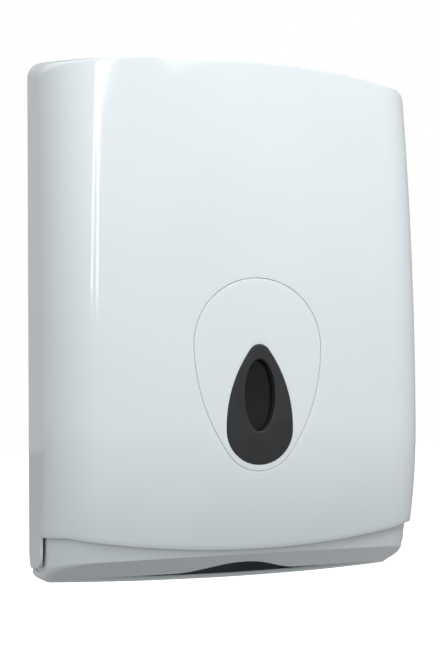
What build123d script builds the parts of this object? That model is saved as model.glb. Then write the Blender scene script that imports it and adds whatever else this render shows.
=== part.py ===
from build123d import *
import math
import os

# Wall-mounted dispenser for folded paper towels, in millimetres. X runs to the right, the front
# faces -Y, the wall is the plane y = 0 and Z is up. Heights below are above a level just under the
# tray; every piece is lowered by datum_height on export, so that the origin is the centre of the
# four wall fixings.

# Cover: outer form
cover_width = 286.0
cover_depth = 126.0          # at the fullest height
fullest_height = 115.0       # height at which the front stands furthest out
front_bow_radius = 510.0     # plan curve of the front
upper_curve_radius = 1720.0  # side-view curve of the front above the fullest height
lower_curve_radius = 290.0   # and below it
corner_radius = 44.0         # upright corners
crown_height = 408.0         # top of the arch, at the wall
crown_radius = 660.0         # front-view curve of the top
crown_slope = 15.75          # degrees by which the top falls towards the front
shoulder_radius = 13.0       # where the top meets the sides
cover_wall = 2.0
cover_wall_gap = 1.0         # rear edge of the cover to the wall

# Seam between cover and tray, in front view
seam_height = 31.0           # at the middle
seam_radius = 765.0
seam_side_height = 38.5
seam_blend_radius = 60.0

# Ears of the cover, which run down beside the tray to the hinge
ear_depth = 61.0             # front edge of the ear, from the wall
ear_height = 14.5            # underside of the ear behind its front corner
ear_corner_radius = 14.5
hinge_depth = 12.0           # hinge axis, from the wall
hinge_height = 20.0

# Hinge
pin_diameter = 5.0
pin_clearance = 0.05         # radial, pin in bush
bush_diameter = 9.0
bush_length = 8.0
ear_boss_diameter = 14.0
ear_boss_length = 9.0
lug_thickness = 8.5
lug_radius = 8.0
lug_gap = 1.0                # lug to the end of the ear's boss
bush_end_gap = 0.6           # pin end to the closed end of the bush

# Tray
tray_cover_gap = 1.9         # tray face behind the cover's inner face
sole_gap = 0.3               # sole of the tray, below the ears, to the plane of their inner faces
sole_height = 8.5            # top of the sole
tray_wall = 2.5
floor_height = 2.0           # underside of the tray
bevel_height = 23.5          # lower edge of the tray's upright front
bevel_rear_depth = 61.0      # where the bevel meets the flat floor, from the wall
rim_overlap = 2.0            # rim of the tray above the seam
tray_notch_gap = 1.0         # notches in the rear corners of the tray, round the hinge lugs

# Slot in the tray's floor
slot_side_gap = 18.0         # end of the slot to the tray's side
slot_rear_depth = 62.0       # rear edge at the middle, from the wall
slot_rear_radius = 660.0
slot_front_depth = 75.0      # front lip at the middle, without its hump
slot_front_radius = 440.0
hump_depth = 24.0            # how far the hump cuts forward
hump_half_width = 48.0
hump_flat = 8.0              # half width of the hump's flat crest
slot_bead_height = 4.0       # above the underside
slot_bead_width = 2.5
hump_steps = 12              # points on the hump's curve, less one

# Back plate
plate_thickness = 3.0
plate_gap = 1.5              # rim of the plate to the cover's inside
plate_rim_depth = 14.0
plate_rim_thickness = 2.0
plate_foot_gap = 4.0         # lower part of the plate inside the tray's sides
plate_step_height = 48.0     # where the plate widens above the tray
plate_corner_radius = 4.0
rib_count = 9
rib_pitch = 22.0
rib_width = 2.0
rib_height = 4.0
rib_bottom_height = 60.0
rib_keeper_gap = 5.0         # top of the ribs below the keeper's foot
rib_guide_gap = 2.0          # outer ribs to the guides' feet
fixing_guide_gap = 1.0       # bosses to the guides' feet
fixing_spacing_z = 240.0
fixing_hole = 5.5
fixing_boss_diameter = 20.0
fixing_counterbore = 11.0
fixing_counterbore_depth = 3.0
datum_height = 210.0         # centre of the wall fixings

# Towel guides
guide_cover_gap = 11.0       # guide to the cover's side
guide_thickness = 2.0
guide_depth = 70.0
guide_bottom_height = 58.0
guide_top_height = 318.0
guide_foot_width = 17.0
guide_corner_radius = 24.0
guide_lip = 6.0

# Screws
screw_diameter = 4.0
screw_head_diameter = 7.5
screw_head_height = 2.4
screw_recess = 1.2
screw_crown_radius = 1.1     # rounded edge of the head
screw_recess_length, screw_recess_width = 4.1, 1.05
screw_tip_cover = 0.4        # plate left behind the tip of a screw
screw_hole_clearance = 0.15  # radial, in the piece the screw holds
tray_screw_pitch = 56.0
guide_screw_inset = 12.0     # outer screws to the ends of a guide

# Window panel, bezel and lens, as outlines of tangent arcs in front view
egg_top_radius, egg_top_height = 46.6, 173.7
egg_low_radius, egg_low_height = 27.0, 113.4
egg_side_radius = 130.0
drop_top_radius, drop_top_height = 8.0, 166.3
drop_low_radius, drop_low_height = 24.2, 115.1
drop_side_radius = 92.0
oval_half_width, oval_half_height, oval_height = 11.0, 25.0, 139.0
panel_thickness = 2.4
panel_fit = 0.25             # gap round the panel
ledge_width = 6.0            # ledge of the cover behind the panel
ledge_thickness = 2.0
ledge_rim = 3.0              # thickened rim outside the panel
bezel_fit = 0.15
bezel_proud = 0.4
bezel_seat = 1.2             # depth of the bezel's recess in the panel
lens_step = 5.5              # depth at which the lens seats
lens_overlap = 2.4           # lens outside the oval opening
lens_thickness = 1.6
lens_fit = 0.2
collar_wall = 2.0
frame_wall = 1.5
frame_thickness = 1.2
frame_fit = 0.3
opening_fit = 0.4            # bezel's collar in the panel
peg_diameter = 3.0
peg_fit = 0.2
peg_reach = 2.6              # peg beyond its seat
peg_edge = 3.5               # peg centre to the panel's edge
bezel_peg_edge = 8.6         # peg centre to the bezel's edge
bezel_peg_drop = 5.0         # side pegs below the centre of the bezel's round end
bezel_peg_low = 1.5
clip_diameter = 7.0
clip_thickness = 0.9
clip_pad_diameter = 7.6
clip_pad_rise = 0.2          # pad's flat face beyond the curved wall
peg_side_angle = 4.0         # side pegs below the centre of the egg's top circle, in degrees
peg_foot_angle = 22.0        # lower pegs below the centre of its low circle

# Cam lock in the top of the cover
lock_depth = 30.0            # lock axis, from the wall
lock_recess = 7.5            # pocket's floor below the crown, at the lock's axis
lock_pocket_diameter = 27.0
lock_pocket_wall = 2.5
lock_floor = 3.0
lock_flange_diameter = 24.0
lock_flange = 2.5
lock_flange_edge = 0.75
lock_barrel_diameter = 16.0
lock_flat = 14.0             # width over the barrel's flats
lock_barrel_length = 20.0    # barrel below the pocket's floor
lock_fit = 0.1
nut_width = 21.0             # over the flats
nut_thickness = 4.0
plug_head_diameter = 14.0
plug_head = 1.5
plug_diameter = 11.0
plug_clearance = 0.05
plug_end_gap = 0.5           # shoulder of the plug below the barrel
key_slot_length, key_slot_width, key_slot_depth = 7.5, 1.4, 9.0
square_width = 6.0
tongue_thickness = 2.5
tongue_reach = 24.0
tongue_width = 11.0
tongue_tip_radius = 3.5
tongue_screw_grip = 7.0

# Keeper bracket that the lock's tongue turns behind
keeper_thickness = 1.5
keeper_inner, keeper_outer = 11.0, 23.0   # sides of the arm, in X
keeper_arm_drop = 9.0        # arm below the tongue
keeper_post_rise = 2.5       # post above the tongue's top
keeper_tongue_gap = 1.0      # post to the tongue when locked
keeper_foot_height = 26.0
keeper_screw_pitch = 14.0

half_width = cover_width / 2
axis_y = front_bow_radius - cover_depth
low_z, high_z = -corner_radius, crown_height + corner_radius
reach = 2 * cover_depth
overrun = 1.0                # how far a cutting shape runs past the face it cuts
sink = 0.5                   # how far a joined shape runs into its neighbour
inner_half = half_width - cover_wall
ear_end_radius = hinge_depth - cover_wall_gap
tray_inset = cover_wall + tray_cover_gap
tray_half = half_width - tray_inset
plate_half = inner_half - plate_gap
sole_inset = cover_wall + sole_gap
sole_half = half_width - sole_inset
plate_foot_half = tray_half - plate_foot_gap
guide_outside = inner_half - guide_cover_gap
guide_inside = guide_outside - guide_thickness
fixing_spacing_x = 2 * (guide_inside - guide_foot_width - fixing_guide_gap) - fixing_boss_diameter
slot_half_width = tray_half - slot_side_gap
lock_floor_height = crown_height - lock_depth * math.tan(math.radians(crown_slope)) - lock_recess
lock_barrel_height = lock_floor_height - lock_barrel_length
tongue_top = lock_barrel_height - plug_end_gap
tongue_low = tongue_top - tongue_thickness
keeper_arm_top = tongue_low - keeper_arm_drop
rib_top_height = keeper_arm_top - keeper_thickness - keeper_foot_height - rib_keeper_gap
keeper_reach = lock_depth + tongue_width / 2 + keeper_tongue_gap
boss_end = inner_half - ear_boss_length
lug_outer = boss_end - lug_gap


def box(x0, x1, y0, y1, z0, z1):
    return Pos((x0 + x1) / 2, (y0 + y1) / 2, (z0 + z1) / 2) * Box(x1 - x0, y1 - y0, z1 - z0)


def rod_x(radius, x0, x1, y, z):
    return Pos((x0 + x1) / 2, y, z) * Rot(0, 90, 0) * Cylinder(radius, abs(x1 - x0))


def rod_y(radius, x, y0, y1, z):
    return Pos(x, (y0 + y1) / 2, z) * Rot(90, 0, 0) * Cylinder(radius, abs(y1 - y0))


def rod_z(radius, x, y, z0, z1):
    return Pos(x, y, (z0 + z1) / 2) * Cylinder(radius, abs(z1 - z0))


def both_sides(part):
    return part + mirror(part, Plane.YZ)


def barrel_radius(height, inset):
    """radius of the front's surface about its upright axis behind the wall"""
    curve = upper_curve_radius if height > fullest_height else lower_curve_radius
    rise = height - fullest_height
    return front_bow_radius - curve + math.sqrt((curve - inset) ** 2 - rise ** 2)


def front_y(x, height, inset=0.0):
    return axis_y - math.sqrt(barrel_radius(height, inset) ** 2 - x ** 2)


def barrel(inset):
    """everything behind the doubly curved front, drawn in by inset"""
    crest = (front_bow_radius - inset, fullest_height)
    top = (barrel_radius(high_z, inset), high_z)
    low = (barrel_radius(low_z, inset), low_z)
    upper = TangentArc(crest, top, tangent=(0, 1))
    lower = TangentArc(crest, low, tangent=(0, -1))
    closing = Polyline(low, (0, low_z), (0, high_z), top)
    return Pos(0, axis_y, 0) * revolve(Plane.XZ * make_face(Curve() + [closing, upper, lower]), Axis.Z)


def plan_form(inset, rear=0.0):
    """barrel front between upright sides, with rounded upright corners"""
    half = half_width - inset
    block = box(-half, half, -reach, -rear, low_z, high_z) & barrel(inset)
    at_side = [e for e in block.edges() if abs(abs(e.center().X) - half) < 0.01]
    upright = [e for e in at_side if e.center().Y < -cover_depth / 2]
    return fillet(upright, corner_radius - inset)


def crown_prism(inset):
    """arched and sloping top, with rounded shoulders"""
    half = half_width - inset
    radius = crown_radius - inset
    rise = radius - math.sqrt(radius ** 2 - half ** 2)
    arch = ThreePointArc((half, -inset - rise), (0, -inset), (-half, -inset - rise))
    sides = Polyline((-half, -inset - rise), (-half, -2 * crown_height), (half, -2 * crown_height),
                     (half, -inset - rise))
    face = make_face(Curve() + [arch, sides])
    shoulders = face.vertices().sort_by(Axis.Y)[-2:]
    face = fillet(shoulders, shoulder_radius - inset)
    return Pos(0, 0, crown_height) * Rot(crown_slope, 0, 0) * extrude(Plane.XZ * face, reach, both=True)


def cover_form(inset, rear=0.0):
    return plan_form(inset, rear) & crown_prism(inset)


def seam_face(offset):
    """front view of what lies below the seam, raised by offset"""
    reach_x = seam_radius * math.sin(math.acos(1 - (seam_side_height - seam_height) / seam_radius))
    top = seam_side_height + offset
    wide = half_width + corner_radius
    arc = ThreePointArc((-reach_x, top), (0, seam_height + offset), (reach_x, top))
    rest = Polyline((reach_x, top), (wide, top), (wide, low_z), (-wide, low_z), (-wide, top),
                    (-reach_x, top))
    face = make_face(Curve() + [arc, rest])
    bends = [v for v in face.vertices() if abs(abs(v.X) - reach_x) < 0.01]
    return fillet(bends, seam_blend_radius)


def below_seam(offset, rear, front):
    return Pos(0, -rear, 0) * extrude(Plane.XZ * seam_face(offset), front - rear)


def ear_outline():
    """side view of the cover, with the ear tapering to a round end about the hinge axis"""
    corner_y, corner_z = -(ear_depth - ear_corner_radius), ear_height
    run, drop = -hinge_depth - corner_y, corner_z - hinge_height
    span = math.hypot(run, drop)
    turn = math.atan2(-drop, run) - math.asin(ear_end_radius / span)
    end_y = -hinge_depth + ear_end_radius * math.sin(turn)
    end_z = hinge_height - ear_end_radius * math.cos(turn)
    mid = (turn - math.pi / 2) / 2 + math.pi / 4
    mid_y = -hinge_depth + ear_end_radius * math.sin(mid)
    mid_z = hinge_height - ear_end_radius * math.cos(mid)
    rear = -cover_wall_gap
    turn_mid = ear_corner_radius * (1 - math.sqrt(0.5))
    lines = [
        Polyline((-reach, low_z), (-ear_depth, low_z), (-ear_depth, corner_z + ear_corner_radius)),
        ThreePointArc((-ear_depth, corner_z + ear_corner_radius),
                      (-ear_depth + turn_mid, corner_z + turn_mid), (corner_y, corner_z)),
        Line((corner_y, corner_z), (end_y, end_z)),
        ThreePointArc((end_y, end_z), (mid_y, mid_z), (rear, hinge_height)),
        Polyline((rear, hinge_height), (rear, high_z), (-reach, high_z), (-reach, low_z)),
    ]
    return make_face(Curve() + lines)


def drop_face(top_r, top_z, low_r, low_z, side_r, grow):
    """closed outline of two circles on the centre line and two large tangent arcs"""
    to_top, to_low, rise = side_r - top_r, side_r - low_r, top_z - low_z
    along = (to_low ** 2 - to_top ** 2 + rise ** 2) / (2 * rise)
    side_x, side_z = -math.sqrt(to_low ** 2 - along ** 2), low_z + along
    side = side_r + grow
    top_x, top_t = tangent_point(side_x, side_z, top_z, to_top, side)
    low_x, low_t = tangent_point(side_x, side_z, low_z, to_low, side)
    middle = math.atan2((top_t + low_t) / 2 - side_z, (top_x + low_x) / 2 - side_x)
    mid_x, mid_z = side_x + side * math.cos(middle), side_z + side * math.sin(middle)
    arcs = [
        ThreePointArc((top_x, top_t), (0, top_z + top_r + grow), (-top_x, top_t)),
        ThreePointArc((-top_x, top_t), (-mid_x, mid_z), (-low_x, low_t)),
        ThreePointArc((-low_x, low_t), (0, low_z - low_r - grow), (low_x, low_t)),
        ThreePointArc((low_x, low_t), (mid_x, mid_z), (top_x, top_t)),
    ]
    return make_face(Curve() + arcs)


def tangent_point(side_x, side_z, end_z, apart, side):
    """where a side arc meets the end circle whose centre lies at x = 0"""
    return side_x * (1 - side / apart), side_z + (end_z - side_z) * side / apart


def egg(grow=0.0):
    return drop_face(egg_top_radius, egg_top_height, egg_low_radius, egg_low_height,
                     egg_side_radius, grow)


def teardrop(grow=0.0):
    return drop_face(drop_top_radius, drop_top_height, drop_low_radius, drop_low_height,
                     drop_side_radius, grow)


def oval(grow=0.0):
    return Pos(0, oval_height) * Ellipse(oval_half_width + grow, oval_half_height + grow)


def forward(face):
    """prism of a front-view outline through the whole front"""
    return extrude(Plane.XZ * face, reach)


def layer(face, outer, inner):
    """what an outline covers between two depths below the front's surface"""
    prism = forward(face)
    skin = prism & barrel(outer)
    return skin - barrel(inner)


def peg_places(ring_grow):
    """pegs of the window panel, just inside its edge"""
    radius = egg_top_radius + ring_grow
    low = egg_low_radius + ring_grow
    side, foot = math.radians(peg_side_angle), math.radians(-peg_foot_angle)
    places = [(0, egg_top_height + radius)]
    for sign in (-1, 1):
        places.append((sign * radius * math.cos(side), egg_top_height - radius * math.sin(side)))
        places.append((sign * low * math.cos(foot), egg_low_height + low * math.sin(foot)))
    return places


def bezel_peg_places():
    side = drop_low_radius - bezel_peg_edge
    return [(0, drop_low_height - side + bezel_peg_low), (-side, drop_low_height - bezel_peg_drop),
            (side, drop_low_height - bezel_peg_drop)]


def clip_seat(x, z, depth):
    """y of the flat pad on which a push-on clip sits"""
    edge = clip_pad_diameter / 2
    around = [front_y(x + dx, z + dz, depth) for dx in (-edge, edge) for dz in (-edge, edge)]
    return max(around) + clip_pad_rise


def panel_seat(x, z):
    return clip_seat(x, z, panel_thickness + ledge_thickness)


def bezel_seat_y(x, z):
    return clip_seat(x, z, panel_thickness)


def front_cover():
    shell = cover_form(0.0) - cover_form(cover_wall, rear=-overrun)
    shell &= extrude(Plane.YZ * ear_outline(), cover_width, both=True)
    shell -= below_seam(0.0, ear_depth, reach)
    shell = add_window_ledge(shell)
    shell = add_lock_pocket(shell)
    return add_hinge_bosses(shell)


def add_window_ledge(shell):
    shell += layer(egg(ledge_rim), cover_wall / 2, panel_thickness + ledge_thickness)
    shell -= forward(egg(-ledge_width))
    shell -= layer(egg(panel_fit), -overrun, panel_thickness)
    for x, z in peg_places(-peg_edge):
        shell += rod_y(clip_pad_diameter / 2, x, front_y(x, z, panel_thickness + sink), panel_seat(x, z), z)
    for x, z in peg_places(-peg_edge):
        shell -= rod_y(peg_diameter / 2 + peg_fit, x, -reach, 0, z)
    return shell


def add_lock_pocket(shell):
    wall = rod_z(lock_pocket_diameter / 2 + lock_pocket_wall, 0, -lock_depth,
                 lock_floor_height - lock_floor, high_z) & cover_form(0.0)
    shell += wall
    shell -= rod_z(lock_pocket_diameter / 2, 0, -lock_depth, lock_floor_height, high_z)
    return shell - barrel_bar(lock_fit, lock_floor_height - lock_floor - overrun,
                              lock_floor_height + overrun)


def barrel_bar(grow, z0, z1):
    """lock barrel: round with two flats"""
    half, deep = lock_flat / 2 + grow, lock_barrel_diameter
    flats = box(-half, half, -lock_depth - deep, -lock_depth + deep, z0, z1)
    return rod_z(lock_barrel_diameter / 2 + grow, 0, -lock_depth, z0, z1) & flats


def add_hinge_bosses(shell):
    boss = rod_x(ear_boss_diameter / 2, boss_end, inner_half + sink, -hinge_depth, hinge_height)
    bore = rod_x(bush_diameter / 2, boss_end - overrun, boss_end + bush_length, -hinge_depth, hinge_height)
    return shell + both_sides(boss) - both_sides(bore)


def window_panel():
    panel = layer(egg(), 0.0, panel_thickness)
    panel -= layer(teardrop(bezel_fit), -overrun, bezel_seat)
    panel -= forward(oval(lens_overlap + lens_fit + collar_wall + opening_fit))
    for x, z in bezel_peg_places():
        panel += rod_y(clip_pad_diameter / 2, x, front_y(x, z, bezel_seat + sink), bezel_seat_y(x, z), z)
    for x, z in bezel_peg_places():
        panel -= rod_y(peg_diameter / 2 + peg_fit, x, -reach, 0, z)
    for x, z in peg_places(-peg_edge):
        panel += rod_y(peg_diameter / 2, x, front_y(x, z, panel_thickness / 2),
                       panel_seat(x, z) + peg_reach, z)
    return panel


def teardrop_bezel():
    bezel = layer(teardrop(), -bezel_proud, bezel_seat)
    seat = lens_step + lens_thickness
    collar = oval(lens_overlap + lens_fit + collar_wall)
    bezel += layer(collar, bezel_seat / 2, seat)
    bezel -= forward(oval())
    bezel -= layer(oval(lens_overlap + lens_fit), lens_step, seat + overrun)
    for x, z in bezel_peg_places():
        bezel += rod_y(peg_diameter / 2, x, front_y(x, z, bezel_seat / 2),
                       bezel_seat_y(x, z) + peg_reach, z)
    return bezel


def sight_lens():
    return layer(oval(lens_overlap), lens_step, lens_step + lens_thickness)


def lens_frame():
    collar = lens_overlap + lens_fit + collar_wall
    seat = lens_step + lens_thickness
    skirt_top = panel_thickness + frame_fit
    frame = layer(oval(collar + frame_fit + frame_wall), skirt_top, seat + frame_thickness)
    frame -= layer(oval(collar + frame_fit), skirt_top - overrun, seat)
    return frame - forward(oval(lens_overlap / 2))


def push_clip(x, z, seat):
    clip = rod_y(clip_diameter / 2, x, seat, seat + clip_thickness, z)
    return clip - rod_y(peg_diameter / 2, x, seat - overrun, seat + clip_thickness + overrun, z)


def panel_retainers():
    return [push_clip(x, z, panel_seat(x, z)) for x, z in peg_places(-peg_edge)]


def bezel_retainers():
    return [push_clip(x, z, bezel_seat_y(x, z)) for x, z in bezel_peg_places()]


def bevel_solid(offset):
    """what lies above the tray's floor and its conical bevel, raised by offset"""
    front_r = barrel_radius(bevel_height, tray_inset)
    rear_r = axis_y + bevel_rear_depth
    slope = (bevel_height - floor_height) / (front_r - rear_r)
    raised = offset * math.hypot(1, slope)
    outer_r = front_bow_radius + corner_radius
    bend_r = rear_r - (raised - offset) / slope
    floor_z = floor_height + offset
    outer_z = floor_height + (outer_r - rear_r) * slope + raised
    profile = Polyline((0, floor_z), (bend_r, floor_z), (outer_r, outer_z), (outer_r, high_z),
                       (0, high_z), close=True)
    return Pos(0, axis_y, 0) * revolve(Plane.XZ * make_face(profile), Axis.Z)


def tray_form(wall):
    """outside of the tray, or its inside when drawn in by a wall"""
    return plan_form(tray_inset + wall, rear=plate_thickness + wall) & bevel_solid(wall)


def tray_sole():
    """lower edge of the tray, which stands out under the ears and fades into the bevel"""
    sole = plan_form(sole_inset, rear=plate_thickness) & bevel_solid(0.0)
    return sole & box(-half_width, half_width, -reach, 0, low_z, sole_height)


def hinge_notch():
    """notch in the tray's rear corner, open to the wall, that clears the lug and the ear's boss"""
    radius = lug_radius + tray_notch_gap
    inner = lug_outer - lug_thickness - tray_notch_gap
    notch = rod_x(radius, inner, half_width, -hinge_depth, hinge_height)
    return notch + box(inner, half_width, -hinge_depth, 0, hinge_height - radius, hinge_height + radius)


def slot_front(x):
    base = bowed_y(slot_front_depth, slot_front_radius, x)
    run = (abs(x) - hump_flat) / (hump_half_width - hump_flat)
    share = 0.5 + 0.5 * math.cos(math.pi * min(max(run, 0.0), 1.0))
    return base - hump_depth * share


def bowed_y(depth, radius, x):
    """y of an arc that bows forward to depth at the middle"""
    return radius - depth - math.sqrt(radius ** 2 - x ** 2)


def bowed_arc(depth, radius, half):
    end_y = bowed_y(depth, radius, half)
    return ThreePointArc((-half, end_y), (0, -depth), (half, end_y))


def slot_face():
    ends = slot_half_width
    rear = bowed_arc(slot_rear_depth, slot_rear_radius, ends)
    inner = [hump_half_width * (2 * i / hump_steps - 1) for i in range(hump_steps + 1)]
    outer = [hump_half_width + (ends - hump_half_width) * i / 3 for i in (1, 2, 3)]
    xs = [-x for x in reversed(outer)] + inner + outer
    lip = Spline([(x, slot_front(x)) for x in xs])
    left = Line(rear @ 0, lip @ 0)
    right = Line(lip @ 1, rear @ 1)
    return make_face(Curve() + [rear, lip, left, right])


def rear_bead():
    """raised lip along the rear edge of the slot"""
    ends = slot_half_width + slot_bead_width
    outer = bowed_arc(slot_rear_depth + slot_bead_width, slot_rear_radius, ends)
    inner = bowed_arc(slot_rear_depth - slot_bead_width, slot_rear_radius, ends)
    face = make_face(Curve() + [outer, inner, Line(outer @ 0, inner @ 0), Line(outer @ 1, inner @ 1)])
    return Pos(0, 0, floor_height + tray_wall / 2) * extrude(face, slot_bead_height - tray_wall / 2)


def base_tray():
    tray = tray_form(0.0) + tray_sole() - tray_form(tray_wall)
    tray &= below_seam(rim_overlap, 0, reach)
    tray += rear_bead()
    tray -= Pos(0, 0, low_z) * extrude(slot_face(), bevel_height - low_z)
    tray -= both_sides(hinge_notch())
    for x, z in tray_screw_places():
        tray -= screw_hole(x, z)
    return tray


def tray_screw_places():
    z = (seam_height + floor_height) / 2
    return [((i - 1.5) * tray_screw_pitch, z) for i in range(4)]


def plate_outline():
    """front view of the back plate below the crown"""
    foot, low, wide = sole_half, plate_foot_half, plate_half
    right = [(foot, floor_height), (foot, sole_height), (low, sole_height), (low, plate_step_height),
             (wide, plate_step_height), (wide, high_z)]
    left = [(-x, z) for x, z in reversed(right)]
    face = make_face(Polyline(*right, *left, close=True))
    low = face.vertices().group_by(Axis.Y)[0]
    return fillet(low, plate_corner_radius)


def back_plate():
    top_inset = cover_wall + plate_gap
    plate = extrude(Plane.XZ * plate_outline(), plate_rim_depth) & crown_prism(top_inset)
    hollow_half = plate_half - plate_rim_thickness
    hollow = box(-hollow_half, hollow_half, -reach, -plate_thickness, low_z, high_z)
    hollow &= crown_prism(top_inset + plate_rim_thickness)
    low_cut = box(-reach, reach, -reach, -plate_thickness, low_z, plate_step_height)
    plate = plate - hollow - low_cut
    plate += plate_ribs()
    plate = add_fixings(plate)
    plate += both_sides(hinge_lug())
    for x, z in tray_screw_places() + guide_screw_places() + keeper_screw_places():
        plate -= screw_shank(x, z, 0.0)
    return plate


def plate_ribs():
    first = -(rib_count - 1) / 2 * rib_pitch
    centres = [first + i * rib_pitch for i in range(rib_count)]
    clear = guide_inside - guide_foot_width - rib_guide_gap
    ribs = [box(x - rib_width / 2, x + rib_width / 2, -plate_thickness - rib_height,
                -plate_thickness + sink, rib_bottom_height, rib_top_height)
            for x in centres if abs(x) < clear]
    return Part() + ribs


def fixing_places():
    return [(sx * fixing_spacing_x / 2, datum_height + sz * fixing_spacing_z / 2)
            for sx in (-1, 1) for sz in (-1, 1)]


def add_fixings(plate):
    face_y = -plate_thickness - rib_height
    for x, z in fixing_places():
        plate += rod_y(fixing_boss_diameter / 2, x, face_y, -plate_thickness + sink, z)
        plate -= rod_y(fixing_counterbore / 2, x, face_y - overrun, face_y + fixing_counterbore_depth, z)
        plate -= rod_y(fixing_hole / 2, x, -reach, overrun, z)
    return plate


def hinge_lug():
    lug = rod_x(lug_radius, lug_outer - lug_thickness, lug_outer, -hinge_depth, hinge_height)
    lug += box(lug_outer - lug_thickness, lug_outer, -hinge_depth, -plate_thickness + sink,
               hinge_height - lug_radius, hinge_height + lug_radius)
    return lug - hinge_pin()


def hinge_pin():
    end = boss_end + bush_length - bush_end_gap
    return rod_x(pin_diameter / 2, lug_outer - lug_thickness, end, -hinge_depth, hinge_height)


def hinge_bush():
    bush = rod_x(bush_diameter / 2, boss_end, boss_end + bush_length, -hinge_depth, hinge_height)
    bore = rod_x(pin_diameter / 2 + pin_clearance, boss_end - overrun,
                 boss_end + bush_length - bush_end_gap / 2, -hinge_depth, hinge_height)
    return bush - bore


def towel_guide():
    """right-hand side wing: foot on the back plate, web beside the towels, small front lip"""
    foot_y = -plate_thickness
    web = box(guide_inside, guide_outside, -guide_depth, foot_y, guide_bottom_height, guide_top_height)
    foot = box(guide_inside - guide_foot_width, guide_outside, foot_y - guide_thickness, foot_y,
               guide_bottom_height, guide_top_height)
    lip = box(guide_inside - guide_lip, guide_outside, -guide_depth, -guide_depth + guide_thickness,
              guide_bottom_height, guide_top_height)
    guide = web + foot + lip
    guide &= extrude(Plane.YZ * guide_profile(), reach)
    for x, z in guide_screw_places():
        guide -= screw_hole(x, z)
    return guide


def guide_profile():
    """side view of a guide with both front corners rounded"""
    face = Pos(-guide_depth / 2, (guide_bottom_height + guide_top_height) / 2) * Rectangle(
        guide_depth, guide_top_height - guide_bottom_height)
    front = face.vertices().group_by(Axis.X)[0]
    return fillet(front, guide_corner_radius)


def guide_screw_places():
    x = guide_inside - guide_foot_width / 2
    heights = (guide_bottom_height + guide_screw_inset, guide_top_height - guide_screw_inset)
    return [(side * x, z) for side in (-1, 1) for z in heights]


def keeper_screw_places():
    x = (keeper_inner + keeper_outer) / 2
    z = keeper_arm_top - keeper_thickness - keeper_foot_height / 2
    return [(x, z - keeper_screw_pitch / 2), (x, z + keeper_screw_pitch / 2)]


def screw_hole(x, z):
    """clearance hole in a piece that is screwed to the back plate"""
    end = -plate_thickness - max(tray_wall, guide_thickness, keeper_thickness) - overrun
    return rod_y(screw_diameter / 2 + screw_hole_clearance, x, end, 0, z)


def screw_shank(x, z, grip):
    return rod_y(screw_diameter / 2, x, -screw_tip_cover, -plate_thickness - grip, z)


def pan_screw(x, z, grip):
    """screw through a piece of thickness grip into the back plate"""
    seat = -plate_thickness - grip
    top = seat - screw_head_height
    head = rod_y(screw_head_diameter / 2, x, top, seat, z)
    head = fillet(head.edges().filter_by(GeomType.CIRCLE).sort_by(Axis.Y)[0], screw_crown_radius)
    for wide, tall in recess_arms():
        head -= box(x - wide / 2, x + wide / 2, top - overrun, top + screw_recess,
                    z - tall / 2, z + tall / 2)
    return head + screw_shank(x, z, grip)


def recess_arms():
    """the two arms of a screw head's cross recess"""
    return [(screw_recess_length, screw_recess_width), (screw_recess_width, screw_recess_length)]


def tray_screws():
    return [pan_screw(x, z, tray_wall) for x, z in tray_screw_places()]


def guide_screws():
    return [pan_screw(x, z, guide_thickness) for x, z in guide_screw_places()]


def keeper_screws():
    return [pan_screw(x, z, keeper_thickness) for x, z in keeper_screw_places()]


def lock_keeper():
    """folded strip: foot on the back plate, arm forward, post up in front of the tongue"""
    t = keeper_thickness
    arm_low = keeper_arm_top - t
    foot = box(keeper_inner, keeper_outer, -plate_thickness - t, -plate_thickness,
               arm_low - keeper_foot_height, keeper_arm_top)
    arm = box(keeper_inner, keeper_outer, -keeper_reach - t, -plate_thickness, arm_low, keeper_arm_top)
    post = box(keeper_inner, keeper_outer, -keeper_reach - t, -keeper_reach, arm_low,
               tongue_top + keeper_post_rise)
    keeper = foot + arm + post
    folds = [e for e in keeper.edges().filter_by(Axis.X)
             if (abs(e.center().Z - arm_low) < 0.01 and abs(e.center().Y + keeper_reach + t) < 0.01)]
    keeper = fillet(folds, t)
    for x, z in keeper_screw_places():
        keeper -= screw_hole(x, z)
    return keeper


def lock_body():
    top = lock_floor_height + lock_flange
    flange = rod_z(lock_flange_diameter / 2, 0, -lock_depth, lock_floor_height, top)
    flange = fillet(flange.edges().filter_by(GeomType.CIRCLE).sort_by(Axis.Z)[-1], lock_flange_edge)
    body = flange + barrel_bar(0.0, lock_barrel_height, lock_floor_height + sink)
    body -= rod_z(plug_head_diameter / 2 + plug_clearance, 0, -lock_depth, top - plug_head, top + overrun)
    return body - rod_z(plug_diameter / 2 + plug_clearance, 0, -lock_depth,
                        lock_barrel_height - overrun, top + overrun)


def lock_nut():
    top = lock_floor_height - lock_floor
    hexagon = Pos(0, -lock_depth, top - nut_thickness) * extrude(
        RegularPolygon(nut_width / 2, 6, major_radius=False), nut_thickness)
    return hexagon - barrel_bar(lock_fit, top - nut_thickness - overrun, top + overrun)


def lock_plug():
    top = lock_floor_height + lock_flange
    plug = rod_z(plug_head_diameter / 2, 0, -lock_depth, top - plug_head, top)
    plug += rod_z(plug_diameter / 2, 0, -lock_depth, tongue_top, top - plug_head)
    plug += box(-square_width / 2, square_width / 2, -lock_depth - square_width / 2,
                -lock_depth + square_width / 2, tongue_low, tongue_top)
    plug -= box(-key_slot_length / 2, key_slot_length / 2, -lock_depth - key_slot_width / 2,
                -lock_depth + key_slot_width / 2, top - key_slot_depth, top + overrun)
    return plug - rod_z(screw_diameter / 2, 0, -lock_depth, tongue_low - overrun,
                        tongue_low + tongue_screw_grip)


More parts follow.
